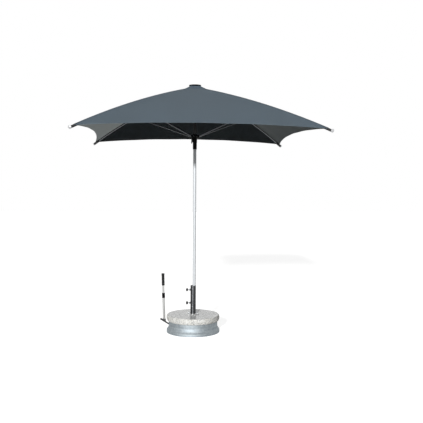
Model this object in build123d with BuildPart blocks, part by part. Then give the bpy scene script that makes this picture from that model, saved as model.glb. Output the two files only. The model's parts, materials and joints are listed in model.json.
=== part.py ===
"""Patio umbrella: a square cloth canopy on four folding ribs, a clamped pole and a rolling granite base.

Millimetres. The origin is on the floor under the pole axis, +Z is up, the canopy sides run along X and Y,
and the two clamp knobs and the jack lever stand on the -X side.
"""

import os
from math import atan2, cos, degrees, hypot, radians, sin, sqrt

from build123d import *

os.makedirs("parts", exist_ok=True)

# Fits: faces that stay together, faces that turn or slide, and each side of a tongue in its fork.
SEAT = 0.1
RUN = 0.3
SIDE = 0.4

# Pole and top fittings.
POLE_D = 35.0
POLE_WALL = 2.0
PLUG_FLANGE = 6.0
PLUG_REACH = 30.0
SPIGOT = 50.0
CROWN_R = 60.0
CROWN_NECK_R = 43.0
CAP_R = 66.0
CAP_RIM = 10.0
CAP_RISE = 6.0
STEM_R = 6.0

# Canopy: the ridge is the line of the cloth's top over a rib, drawn by its radius from the pole axis.
PIVOT_R = 48.0
CANOPY_HALF = 1183.0
HEM_BOW = 87.0
CORNER_CUT = 17.0
RIDGE_START_Z = 2684.6
RIDGE_FALL = 535.4
RIDGE_BOW = 40.0
RIDGE_OVERRUN = 17.0
CLOTH = 1.5
CLOTH_GAP = 1.8
NECK_HALF = 44.0
NECK_FOOT_HALF = 104.0
NECK_RISE = 17.9
CLOTH_HOLE_R = 16.0
CORNER_R = CANOPY_HALF * sqrt(2)
RIDGE_END_R = CORNER_R + RIDGE_OVERRUN
RIDGE_END_Z = RIDGE_START_Z - RIDGE_FALL
NECK_Z = RIDGE_START_Z + NECK_RISE

# Ribs, struts and their joints.
RIB_AZIMUTHS = (45, 135, 225, 315)
RIB_W = 12.0
RIB_H = 18.0
RIB_WALL = 1.4
RIB_ROUND = 5.9
RIB_OVERRUN = 6.0
RIB_END_R = CORNER_R + RIB_OVERRUN
TONGUE = 8.0
TONGUE_REACH = 24.0
PIN_R = 3.0
STRUT_R = 907.0
STRUT_D = 14.0
STRUT_WALL = 1.2
JOINT_DROP = 22.0
CLAMP_LENGTH = 40.0
CLAMP_WALL = 3.0
WEB = 3.0
TIP_R = 18.0
TIP_LENGTH = 22.0
TIP_NECK = 9.0
TIP_DOME = 9.0

# Runner.
RUNNER_R = 57.0
RUNNER_DISC = 30.0
HUB_R = 24.0
HUB_DROP = 66.0
SLEEVE_R = 22.0
SLEEVE_LENGTH = 72.0
CATCH_W = 10.0
CATCH_R = 33.0
CATCH_DROP = 30.0
CATCH_LENGTH = 40.0
CATCH_CHEEK = 32.0

# Base: the pole is pressed against the far side of the wider holder, so the base axis is off the pole.
HOLDER_D = 60.3
HOLDER_WALL = 2.0
HOLDER_TOP = 511.0
BASE_X = -((HOLDER_D - 2 * HOLDER_WALL - POLE_D) / 2 - RUN)
FLANGE = 120.0
FLANGE_T = 8.0
BOLT_PITCH = 84.0
BOLT_R = 5.0
SLAB_R = 291.0
SLAB_BEVEL = 6.0
SLAB_UNDERCUT = 16.0
SLAB_T = 65.8
SKIRT_FLARE = 2.0
SKIRT_TUCK = 22.5
SLAB_TOP_R = SLAB_R - SLAB_BEVEL
SLAB_FOOT_R = SLAB_R - SLAB_UNDERCUT
SKIRT_R = SLAB_R + SKIRT_FLARE
SKIRT_NECK_R = SLAB_R - SKIRT_TUCK
SKIRT_H = 125.0
SKIRT_WALL = 2.0
RIM_W = 14.0
LIP_H = 30.0
FLARE_H = 50.0
LEDGE_W = 26.0
PLATE_T = 6.0

# Clamps on the holder.
CLAMP_HEIGHTS = {"lower": 318.0, "upper": 464.0}
SCREW_R = 5.0
BOSS_R = 11.0
BOSS_LENGTH = 12.0
KNOB_R = 19.0
KNOB_T = 22.0
KNOB_REACH = 68.4
PAD_R = 8.0
PAD_T = 5.0

# Jack lever, axles and wheels.
AXLE_REACH = 140.0
AXLE_Z = 46.0
AXLE_R = 10.0
BEARING_Y = 70.0
BEARING_W = 16.0
BEARING_L = 30.0
ARM_Y = 84.0
ARM_T = 8.0
THROW = 50.0
THROW_ANGLE = 15.0
WHEEL_R = 38.0
WHEEL_W = 30.0
WHEEL_PIN_R = 6.0
ROCKER = 30.0
ROCKER_Y = 40.0
ROCKER_T = 6.0
ROD_W = 14.0
ROD_T = 6.0
LEVER_T = 10.0
LEVER_R = 8.0
LEVER_WALL_POINT = (-279.0, 87.0)
LEVER_END = (-364.0, 141.0)

# Handle on the lever, measured along its own leaning axis from the foot.
HANDLE_FOOT = (-330.0, 118.0)
HANDLE_LEAN = 1.66
SOCKET_R = 18.0
SOCKET_H = 24.0
OUTER_R = 14.0
INNER_R = 12.0
TUBE_WALL = 1.5
COLLAR_R = 16.5
COLLAR_FROM = 258.5
COLLAR_TO = 313.5
INNER_FROM = 82.0
GRIP_R = 16.5
GRIP_FROM = 397.5
GRIP_TO = 530.0


def ridge_z(radius):
    """Height of the cloth's top over a rib: a circular arc from the pivot to the rib end."""
    chord_r = RIDGE_END_R - PIVOT_R
    chord_z = RIDGE_END_Z - RIDGE_START_Z
    chord = hypot(chord_r, chord_z)
    bend = (chord**2 / 4 + RIDGE_BOW**2) / (2 * RIDGE_BOW)
    centre_r = (PIVOT_R + RIDGE_END_R) / 2 + (RIDGE_BOW - bend) * -chord_z / chord
    centre_z = (RIDGE_START_Z + RIDGE_END_Z) / 2 + (RIDGE_BOW - bend) * chord_r / chord
    return centre_z + sqrt(bend**2 - (radius - centre_r) ** 2)


def rib_z(radius):
    """Height of a rib's centreline, which hangs under the cloth."""
    return ridge_z(radius) - CLOTH - CLOTH_GAP - RIB_H / 2


def radial_plane(azimuth):
    """Upright plane through the pole axis: its x runs outward and its y runs up."""
    turn = radians(azimuth)
    return Plane(origin=(0, 0, 0), x_dir=(cos(turn), sin(turn), 0), z_dir=(sin(turn), -cos(turn), 0))


def dome(radius, foot, rise):
    """Three points of a spherical dome's section: its foot, a point halfway round and its top."""
    ball = (radius**2 + rise**2) / (2 * rise)
    half = atan2(radius, ball - rise) / 2
    return (radius, foot), (ball * sin(half), foot + rise - ball + ball * cos(half)), (0, foot + rise)


def tongue(start, end, start_r, end_r):
    """Flat eye end: the hull of two circles, with the pivot hole at the first."""
    with Locations(start):
        Circle(start_r)
    with Locations(end):
        Circle(end_r)
    make_hull()
    with Locations(start):
        Circle(PIN_R + RUN, mode=Mode.SUBTRACT)


def arm(start, end, start_r, end_r):
    """Hull of two circles, with no hole."""
    with Locations(start):
        Circle(start_r)
    with Locations(end):
        Circle(end_r)
    make_hull()


# Heights that follow from the ridge: the strut joint sits halfway between the crown and runner pivots,
# so rib and strut stay an isosceles pair while the runner slides.
CROWN_PIVOT_Z = rib_z(PIVOT_R)
JOINT_Z = rib_z(STRUT_R) - JOINT_DROP
RUNNER_PIVOT_Z = 2 * JOINT_Z - CROWN_PIVOT_Z
CROWN_Z = CROWN_PIVOT_Z - RIB_H
CROWN_TOP_Z = NECK_Z - CLOTH - RUN
SLOT_ROOF_Z = CROWN_PIVOT_Z + RIB_H / 2 + RUN
RUNNER_TOP_Z = RUNNER_PIVOT_Z + RUNNER_DISC / 2
HUB_FOOT_Z = RUNNER_PIVOT_Z - HUB_DROP
PLATE_Z = SKIRT_H - PLATE_T
SLAB_Z = SKIRT_H + SEAT
FLANGE_Z = SLAB_Z + SLAB_T + SEAT
POLE_FOOT_Z = FLANGE_Z + FLANGE_T + RUN
POLE_Z = POLE_FOOT_Z + PLUG_FLANGE + SEAT
POLE_TOP_Z = CROWN_Z - SEAT
POLE_BORE_R = POLE_D / 2 - POLE_WALL
SLOT_W = TONGUE + 2 * SIDE
BASE_PLANE = Plane(origin=(BASE_X, 0, 0), x_dir=(1, 0, 0), z_dir=(0, -1, 0))
BASE_AXIS = Axis((BASE_X, 0, 0), (0, 0, 1))
HANDLE_AXIS = (-sin(radians(HANDLE_LEAN)), 0, cos(radians(HANDLE_LEAN)))
HANDLE_PLANE = Plane(origin=(HANDLE_FOOT[0], 0, HANDLE_FOOT[1]), x_dir=(0, 1, 0), z_dir=HANDLE_AXIS)

# Pole with its foot plug.
with BuildPart() as pole:
    with Locations((0, 0, POLE_Z)):
        Cylinder(POLE_D / 2, POLE_TOP_Z - POLE_Z, align=(Align.CENTER, Align.CENTER, Align.MIN))
        Cylinder(
            POLE_BORE_R,
            POLE_TOP_Z - POLE_Z,
            align=(Align.CENTER, Align.CENTER, Align.MIN),
            mode=Mode.SUBTRACT,
        )
pole.part.label = "pole"
export_step(pole.part, "parts/pole.step")

with BuildPart() as foot_plug:
    with Locations((0, 0, POLE_FOOT_Z)):
        Cylinder(POLE_D / 2, PLUG_FLANGE, align=(Align.CENTER, Align.CENTER, Align.MIN))
        Cylinder(
            POLE_BORE_R - SEAT,
            PLUG_FLANGE + PLUG_REACH,
            align=(Align.CENTER, Align.CENTER, Align.MIN),
        )
    chamfer(foot_plug.edges().group_by(Axis.Z)[0], 1.5)
    chamfer(foot_plug.edges().group_by(Axis.Z)[-1], 2.0)
foot_plug.part.label = "pole_foot_plug"
export_step(foot_plug.part, "parts/pole_foot_plug.step")

# Crown: four forks open downward and outward, on a spigot that plugs the pole.
with BuildPart() as crown:
    with BuildSketch(Plane.XZ):
        with BuildLine():
            Polyline(
                (0, CROWN_Z - SPIGOT),
                (POLE_BORE_R - SEAT - 1, CROWN_Z - SPIGOT),
                (POLE_BORE_R - SEAT, CROWN_Z - SPIGOT + 3),
                (POLE_BORE_R - SEAT, CROWN_Z),
                (CROWN_R, CROWN_Z),
                (CROWN_R, CROWN_TOP_Z - CROWN_R + CROWN_NECK_R),
                (CROWN_NECK_R, CROWN_TOP_Z),
                (0, CROWN_TOP_Z),
                close=True,
            )
        make_face()
    revolve(axis=Axis.Z)
    with Locations((0, 0, (CROWN_Z + SLOT_ROOF_Z) / 2)):
        with PolarLocations(CROWN_R, 4, start_angle=RIB_AZIMUTHS[0]):
            Box(2 * (CROWN_R - 36.0), SLOT_W, SLOT_ROOF_Z - CROWN_Z, mode=Mode.SUBTRACT)
    with Locations((0, 0, CROWN_PIVOT_Z)):
        with PolarLocations(PIVOT_R, 4, start_angle=RIB_AZIMUTHS[0]):
            Cylinder(PIN_R + SEAT, 2 * CROWN_R, rotation=(90, 0, 0), mode=Mode.SUBTRACT)
    with Locations((0, 0, CROWN_TOP_Z)):
        Cylinder(STEM_R + SEAT, 50.0, mode=Mode.SUBTRACT)
crown.part.label = "crown_hub"
export_step(crown.part, "parts/crown_hub.step")

with BuildPart() as crown_pins:
    with Locations((0, 0, CROWN_PIVOT_Z)):
        with PolarLocations(PIVOT_R, 4, start_angle=RIB_AZIMUTHS[0]):
            Cylinder(PIN_R, 2 * 34.0, rotation=(90, 0, 0))
crown_pins.part.label = "crown_pins"
export_step(crown_pins.part, "parts/crown_pins.step")

with BuildPart() as cap:
    rim_z = NECK_Z + RUN
    with BuildSketch(Plane.XZ):
        with BuildLine():
            Polyline(
                (0, rim_z + CAP_RIM + CAP_RISE),
                (0, CROWN_TOP_Z - 22.0),
                (STEM_R, CROWN_TOP_Z - 22.0),
                (STEM_R, rim_z),
                (CAP_R - 2, rim_z),
                (CAP_R, rim_z + 2),
                (CAP_R, rim_z + CAP_RIM),
            )
            ThreePointArc(*dome(CAP_R, rim_z + CAP_RIM, CAP_RISE))
        make_face()
    revolve(axis=Axis.Z)
cap.part.label = "top_cap"
export_step(cap.part, "parts/top_cap.step")


# Canopy: two crossed tents cut to the hem with its corners trimmed to let the rib ends out, less the same
# tents one cloth thickness lower.
def tent(plane, drop, half, floor_z):
    """Section across a tent: flat top, straight neck, then the ridge arc seen square to the side."""

    def lowered(v):
        return ridge_z(v * sqrt(2)) - drop

    mid = (NECK_FOOT_HALF + half) / 2
    with BuildSketch(plane) as section:
        with BuildLine():
            for side in (1, -1):
                Polyline(
                    (0, NECK_Z - drop),
                    (side * NECK_HALF, NECK_Z - drop),
                    (side * NECK_FOOT_HALF, lowered(NECK_FOOT_HALF)),
                )
                ThreePointArc(
                    (side * NECK_FOOT_HALF, lowered(NECK_FOOT_HALF)),
                    (side * mid, lowered(mid)),
                    (side * half, lowered(half)),
                )
                Polyline((side * half, lowered(half)), (side * half, floor_z), (0, floor_z))
        make_face()
    return section.sketch


with BuildPart() as canopy:
    reach = CANOPY_HALF + 5
    below = RIDGE_END_Z - 150.0
    extrude(tent(Plane.YZ, 0, reach, below), amount=reach, both=True)
    extrude(tent(Plane.XZ, 0, reach, below), amount=reach, both=True, mode=Mode.INTERSECT)
    corners = [(-1, -1), (1, -1), (1, 1), (-1, 1), (-1, -1)]
    with BuildSketch(Plane.XY.offset(below - 20)):
        with BuildLine():
            for (x0, y0), (x1, y1) in zip(corners, corners[1:]):
                middle = (CANOPY_HALF - HEM_BOW) / 2
                ThreePointArc(
                    (x0 * CANOPY_HALF, y0 * CANOPY_HALF),
                    ((x0 + x1) * middle, (y0 + y1) * middle),
                    (x1 * CANOPY_HALF, y1 * CANOPY_HALF),
                )
        make_face()
        trimmed = 2 * (CORNER_R - CORNER_CUT)
        Rectangle(trimmed, trimmed, rotation=45, mode=Mode.INTERSECT)
    extrude(amount=NECK_Z - below + 40, mode=Mode.INTERSECT)
    with BuildPart(mode=Mode.PRIVATE) as hollow:
        wide = CANOPY_HALF + 40
        extrude(tent(Plane.YZ, CLOTH, wide, below - 50), amount=wide, both=True)
        extrude(tent(Plane.XZ, CLOTH, wide, below - 50), amount=wide, both=True, mode=Mode.INTERSECT)
    add(hollow.part, mode=Mode.SUBTRACT)
    with Locations((0, 0, NECK_Z)):
        Cylinder(CLOTH_HOLE_R, 20.0, mode=Mode.SUBTRACT)
canopy.part.label = "canopy"
export_step(canopy.part, "parts/canopy.step")

# Ribs with their end knobs, strut clamps, strut pins and struts, one set on each diagonal.
RIB_SLOPE = degrees(atan2(rib_z(STRUT_R - 1) - rib_z(STRUT_R + 1), 2))
RIB_START_R = PIVOT_R + TONGUE_REACH
TONGUE_END_R = RIB_START_R + 14.0
RIB_PLUG_R = TONGUE_END_R + 12.0
STRUT_RISE = degrees(atan2(JOINT_Z - RUNNER_PIVOT_Z, STRUT_R - PIVOT_R))
STRUT_LENGTH = hypot(JOINT_Z - RUNNER_PIVOT_Z, STRUT_R - PIVOT_R)
CLAMP_W = RIB_W + 2 * SEAT + 2 * CLAMP_WALL

for number, azimuth in enumerate(RIB_AZIMUTHS, 1):
    radial = radial_plane(azimuth)

    with BuildPart() as rib:
        for start_r, shrink, mode in ((RIB_START_R, 0, Mode.ADD), (RIB_PLUG_R, RIB_WALL, Mode.SUBTRACT)):
            mid_r = (start_r + RIB_END_R) / 2
            with BuildLine(radial) as rib_line:
                ThreePointArc(
                    (start_r, rib_z(start_r)), (mid_r, rib_z(mid_r)), (RIB_END_R, rib_z(RIB_END_R))
                )
            with BuildSketch(Plane(rib_line.line @ 0, x_dir=radial.z_dir, z_dir=rib_line.line % 0)):
                RectangleRounded(RIB_W - 2 * shrink, RIB_H - 2 * shrink, RIB_ROUND - shrink)
            sweep(path=rib_line.line, mode=mode)
        with BuildSketch(radial):
            tongue((PIVOT_R, CROWN_PIVOT_Z), (TONGUE_END_R, rib_z(TONGUE_END_R)), RIB_H / 2, 7.2)
        extrude(amount=TONGUE / 2, both=True)
    rib.part.label = f"rib_{number}"
    export_step(rib.part, f"parts/rib_{number}.step")

    with BuildPart() as rib_tip:
        tip_plane = Plane(rib_line.line @ 1, x_dir=radial.z_dir, z_dir=rib_line.line % 1)
        with BuildSketch(tip_plane.offset(-30)):
            RectangleRounded(
                RIB_W - 2 * RIB_WALL - 2 * RUN,
                RIB_H - 2 * RIB_WALL - 2 * RUN,
                RIB_ROUND - RIB_WALL - RUN,
            )
        extrude(amount=30 + TIP_NECK)
        with BuildSketch(Plane(tip_plane.origin, x_dir=tip_plane.y_dir, z_dir=tip_plane.x_dir)):
            with BuildLine():
                Polyline(
                    (0, SEAT),
                    (RIB_H / 2 - 1, SEAT),
                    (RIB_H / 2 - 1, TIP_NECK),
                    (TIP_R - 3, TIP_NECK),
                    (TIP_R, TIP_NECK + 3),
                    (TIP_R, TIP_NECK + TIP_LENGTH - TIP_DOME),
                )
                ThreePointArc(*dome(TIP_R, TIP_NECK + TIP_LENGTH - TIP_DOME, TIP_DOME))
                Line((0, TIP_NECK + TIP_LENGTH), (0, SEAT))
            make_face()
        revolve(axis=Axis(tip_plane.origin, tip_plane.z_dir))
    rib_tip.part.label = f"rib_tip_{number}"
    export_step(rib_tip.part, f"parts/rib_tip_{number}.step")

    with BuildPart() as strut_clamp:
        rib_here = Location((STRUT_R, rib_z(STRUT_R), 0), (0, 0, -RIB_SLOPE))
        with BuildSketch(radial):
            with Locations((STRUT_R, JOINT_Z)):
                Circle(10.0)
            with Locations(rib_here * Location((0, -2.5, 0))):
                Rectangle(CLAMP_LENGTH, RIB_H - 5)
            make_hull()
        extrude(amount=CLAMP_W / 2, both=True)
        with BuildSketch(radial):
            with Locations(rib_here * Location((0, 20 - RIB_H / 2 - SEAT, 0))):
                Rectangle(2 * CLAMP_LENGTH, 40)
        extrude(amount=RIB_W / 2 + SEAT, both=True, mode=Mode.SUBTRACT)
        with BuildSketch(radial):
            with Locations(rib_here * Location((0, -20 - RIB_H / 2 - SEAT - WEB, 0))):
                Rectangle(2 * CLAMP_LENGTH, 40)
        extrude(amount=SLOT_W / 2, both=True, mode=Mode.SUBTRACT)
        with BuildSketch(radial):
            with Locations((STRUT_R, JOINT_Z)):
                Circle(PIN_R + SEAT)
        extrude(amount=CLAMP_W, both=True, mode=Mode.SUBTRACT)
    strut_clamp.part.label = f"strut_clamp_{number}"
    export_step(strut_clamp.part, f"parts/strut_clamp_{number}.step")

    with BuildPart() as strut_pin:
        with BuildSketch(radial):
            with Locations((STRUT_R, JOINT_Z)):
                Circle(PIN_R)
        extrude(amount=CLAMP_W / 2 + SEAT + 2.0, both=True)
        for side in (1, -1):
            with BuildSketch(radial.offset(side * (CLAMP_W / 2 + SEAT))):
                with Locations((STRUT_R, JOINT_Z)):
                    Circle(PIN_R + 2.5)
            extrude(amount=side * 2.0)
    strut_pin.part.label = f"strut_pin_{number}"
    export_step(strut_pin.part, f"parts/strut_pin_{number}.step")

    with BuildPart() as strut:
        lean = radians(STRUT_RISE)
        foot = (PIVOT_R, RUNNER_PIVOT_Z)
        head = (STRUT_R, JOINT_Z)
        along = radial.x_dir * cos(lean) + Vector(0, 0, sin(lean))
        start = radial.from_local_coords(Vector(*foot, 0)) + along * TONGUE_REACH
        with BuildSketch(Plane(start, x_dir=radial.z_dir, z_dir=along)):
            Circle(STRUT_D / 2)
            Circle(STRUT_D / 2 - STRUT_WALL, mode=Mode.SUBTRACT)
        extrude(amount=STRUT_LENGTH - 2 * TONGUE_REACH)
        reach = TONGUE_REACH + 12.0
        for near, sign in ((foot, 1), (head, -1)):
            far = (near[0] + sign * reach * cos(lean), near[1] + sign * reach * sin(lean))
            with BuildSketch(radial):
                tongue(near, far, 8.0, 5.5)
            extrude(amount=TONGUE / 2, both=True)
    strut.part.label = f"strut_{number}"
    export_step(strut.part, f"parts/strut_{number}.step")

# Runner: a slotted hub open upward and outward, a hand sleeve below it and a catch on the -X side.
with BuildPart() as runner:
    bore = POLE_D / 2 + SIDE
    with BuildSketch(Plane.XZ):
        with BuildLine():
            Polyline(
                (bore, HUB_FOOT_Z),
                (HUB_R, HUB_FOOT_Z),
                (HUB_R, RUNNER_TOP_Z - RUNNER_DISC - 12),
                (RUNNER_R - 4, RUNNER_TOP_Z - RUNNER_DISC),
                (RUNNER_R, RUNNER_TOP_Z - RUNNER_DISC + 4),
                (RUNNER_R, RUNNER_TOP_Z - 3),
                (RUNNER_R - 3, RUNNER_TOP_Z),
                (HUB_R + 4, RUNNER_TOP_Z),
                (HUB_R, RUNNER_TOP_Z + 12),
                (bore, RUNNER_TOP_Z + 12),
                close=True,
            )
        make_face()
    revolve(axis=Axis.Z)
    slot_floor_z = RUNNER_PIVOT_Z - 8.0 - RUN
    with Locations((0, 0, (slot_floor_z + RUNNER_TOP_Z + 20) / 2)):
        with PolarLocations(RUNNER_R, 4, start_angle=RIB_AZIMUTHS[0]):
            Box(2 * (RUNNER_R - 36.0), SLOT_W, RUNNER_TOP_Z + 20 - slot_floor_z, mode=Mode.SUBTRACT)
    with Locations((0, 0, RUNNER_PIVOT_Z)):
        with PolarLocations(PIVOT_R, 4, start_angle=RIB_AZIMUTHS[0]):
            Cylinder(PIN_R + SEAT, 2 * RUNNER_R, rotation=(90, 0, 0), mode=Mode.SUBTRACT)
    catch_z = RUNNER_PIVOT_Z - CATCH_DROP
    with BuildSketch(Plane.XZ):
        with Locations((-CATCH_R, catch_z)):
            Circle(6.0)
        with Locations((-HUB_R + 1, catch_z + 13)):
            Rectangle(4.0, 13 + CATCH_CHEEK, align=(Align.CENTER, Align.MAX))
        make_hull()
    extrude(amount=CATCH_W / 2 + SIDE + 4, both=True)
    with Locations((-HUB_R - 30, 0, catch_z + 20)):
        Box(
            60,
            CATCH_W + 2 * SIDE,
            20 + CATCH_LENGTH,
            align=(Align.CENTER, Align.CENTER, Align.MAX),
            mode=Mode.SUBTRACT,
        )
    with Locations((-CATCH_R, 0, catch_z)):
        Cylinder(2.0 + SEAT, 60.0, rotation=(90, 0, 0), mode=Mode.SUBTRACT)
runner.part.label = "runner_hub"
export_step(runner.part, "parts/runner_hub.step")

with BuildPart() as sleeve:
    with Locations((0, 0, HUB_FOOT_Z - SEAT)):
        Cylinder(SLEEVE_R, SLEEVE_LENGTH, align=(Align.CENTER, Align.CENTER, Align.MAX))
        Cylinder(
            POLE_D / 2 + SIDE,
            SLEEVE_LENGTH,
            align=(Align.CENTER, Align.CENTER, Align.MAX),
            mode=Mode.SUBTRACT,
        )
    chamfer(sleeve.edges().group_by(Axis.Z)[0], 1.2)
sleeve.part.label = "runner_sleeve"
export_step(sleeve.part, "parts/runner_sleeve.step")

with BuildPart() as runner_pins:
    with Locations((0, 0, RUNNER_PIVOT_Z)):
        with PolarLocations(PIVOT_R, 4, start_angle=RIB_AZIMUTHS[0]):
            Cylinder(PIN_R, 2 * 29.0, rotation=(90, 0, 0))
runner_pins.part.label = "runner_pins"
export_step(runner_pins.part, "parts/runner_pins.step")

with BuildPart() as catch:
    with BuildSketch(Plane.XZ):
        with Locations((-CATCH_R, catch_z)):
            Circle(5.0)
        with Locations((-CATCH_R - 2, catch_z - CATCH_LENGTH)):
            Circle(5.0)
        make_hull()
        with Locations((-CATCH_R, catch_z)):
            Circle(2.0 + RUN, mode=Mode.SUBTRACT)
    extrude(amount=CATCH_W / 2, both=True)
catch.part.label = "runner_catch"
export_step(catch.part, "parts/runner_catch.step")

with BuildPart() as catch_pin:
    with Locations((-CATCH_R, 0, catch_z)):
        Cylinder(2.0, CATCH_W + 2 * SIDE + 8, rotation=(90, 0, 0))
catch_pin.part.label = "catch_pin"
export_step(catch_pin.part, "parts/catch_pin.step")

# Base shell: skirt with a lever notch, chassis plate on its ledge, granite slab on top.
with BuildPart() as skirt:
    with BuildSketch(BASE_PLANE):
        with BuildLine():
            lip_r = SKIRT_R - 1.5
            flare_z = LIP_H + FLARE_H
            bend_r = SKIRT_NECK_R + (lip_r - SKIRT_NECK_R) * 0.33
            bend_z = LIP_H + FLARE_H * 0.42
            Polyline((SKIRT_R - RIM_W, 0), (SKIRT_R, 0), (lip_r, LIP_H))
            ThreePointArc((lip_r, LIP_H), (bend_r, bend_z), (SKIRT_NECK_R, flare_z))
            Polyline(
                (SKIRT_NECK_R, flare_z),
                (SKIRT_NECK_R, SKIRT_H),
                (SKIRT_NECK_R - SKIRT_WALL, SKIRT_H),
                (SKIRT_NECK_R - SKIRT_WALL, PLATE_Z - SEAT),
                (SKIRT_NECK_R - LEDGE_W, PLATE_Z - SEAT),
                (SKIRT_NECK_R - LEDGE_W, PLATE_Z - SEAT - SKIRT_WALL),
                (SKIRT_NECK_R - SKIRT_WALL, PLATE_Z - SEAT - SKIRT_WALL),
                (SKIRT_NECK_R - SKIRT_WALL, flare_z),
            )
            ThreePointArc(
                (SKIRT_NECK_R - SKIRT_WALL, flare_z),
                (bend_r - SKIRT_WALL, bend_z),
                (lip_r - SKIRT_WALL, LIP_H),
            )
            Polyline(
                (lip_r - SKIRT_WALL, LIP_H),
                (SKIRT_R - SKIRT_WALL, SKIRT_WALL),
                (SKIRT_R - RIM_W, SKIRT_WALL),
                (SKIRT_R - RIM_W, 0),
            )
        make_face()
    revolve(axis=BASE_AXIS)
    with Locations((BASE_X - SKIRT_R, 0, 0)):
        notch_h = LEVER_WALL_POINT[1] + LEVER_R + 6
        Box(60, LEVER_T + 8, 2 * notch_h, mode=Mode.SUBTRACT)
skirt.part.label = "skirt"
export_step(skirt.part, "parts/skirt.step")

with BuildPart() as plate:
    with Locations((BASE_X, 0, PLATE_Z)):
        Cylinder(
            SKIRT_NECK_R - SKIRT_WALL - 2 * RUN, PLATE_T, align=(Align.CENTER, Align.CENTER, Align.MIN)
        )
        with GridLocations(BOLT_PITCH, BOLT_PITCH, 2, 2):
            Cylinder(BOLT_R + SEAT, 40, mode=Mode.SUBTRACT)
plate.part.label = "chassis_plate"
export_step(plate.part, "parts/chassis_plate.step")

with BuildPart() as slab:
    with BuildSketch(BASE_PLANE):
        with BuildLine():
            Polyline(
                (0, SLAB_Z),
                (SLAB_FOOT_R, SLAB_Z),
                (SLAB_FOOT_R + 6, SLAB_Z + 6),
                (SLAB_R - 2, SLAB_Z + SLAB_T * 0.42),
                (SLAB_R, SLAB_Z + SLAB_T * 0.66),
                (SLAB_R - 1.5, SLAB_Z + SLAB_T - 8),
                (SLAB_TOP_R, SLAB_Z + SLAB_T),
                (0, SLAB_Z + SLAB_T),
                close=True,
            )
        make_face()
    revolve(axis=BASE_AXIS)
    with Locations((BASE_X, 0, SLAB_Z)):
        with GridLocations(BOLT_PITCH, BOLT_PITCH, 2, 2):
            Cylinder(BOLT_R + 0.5, 3 * SLAB_T, mode=Mode.SUBTRACT)
slab.part.label = "granite_slab"
export_step(slab.part, "parts/granite_slab.step")

# Holder: tube on a square flange, with two threaded bosses for the clamp screws.
with BuildPart() as holder:
    flange_top = FLANGE_Z + FLANGE_T
    with BuildSketch(Plane.XY.offset(FLANGE_Z)):
        with Locations((BASE_X, 0)):
            RectangleRounded(FLANGE, FLANGE, 12)
            with GridLocations(BOLT_PITCH, BOLT_PITCH, 2, 2):
                Circle(BOLT_R + 0.5, mode=Mode.SUBTRACT)
    extrude(amount=FLANGE_T)
    with Locations((BASE_X, 0, flange_top)):
        Cylinder(HOLDER_D / 2, HOLDER_TOP - flange_top, align=(Align.CENTER, Align.CENTER, Align.MIN))
    for clamp_z in CLAMP_HEIGHTS.values():
        with Locations((BASE_X - HOLDER_D / 2 + 2, 0, clamp_z)):
            Cylinder(
                BOSS_R,
                BOSS_LENGTH + 2,
                rotation=(0, -90, 0),
                align=(Align.CENTER, Align.CENTER, Align.MIN),
            )
    with Locations((BASE_X, 0, flange_top)):
        Cylinder(
            HOLDER_D / 2 - HOLDER_WALL,
            HOLDER_TOP,
            align=(Align.CENTER, Align.CENTER, Align.MIN),
            mode=Mode.SUBTRACT,
        )
    for clamp_z in CLAMP_HEIGHTS.values():
        with Locations((BASE_X - HOLDER_D / 2, 0, clamp_z)):
            Cylinder(SCREW_R + RUN, 50, rotation=(0, 90, 0), mode=Mode.SUBTRACT)
holder.part.label = "mast_holder"
export_step(holder.part, "parts/mast_holder.step")

with BuildPart() as bolts:
    head_z = FLANGE_Z + FLANGE_T + SEAT
    with BuildSketch(Plane.XY.offset(head_z)):
        with Locations((BASE_X, 0)):
            with GridLocations(BOLT_PITCH, BOLT_PITCH, 2, 2):
                RegularPolygon(9.8, 6)
    extrude(amount=7)
    with BuildSketch(Plane.XY.offset(head_z)):
        with Locations((BASE_X, 0)):
            with GridLocations(BOLT_PITCH, BOLT_PITCH, 2, 2):
                Circle(BOLT_R)
    extrude(amount=PLATE_Z - 8 - head_z)
bolts.part.label = "flange_bolts"
export_step(bolts.part, "parts/flange_bolts.step")

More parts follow.
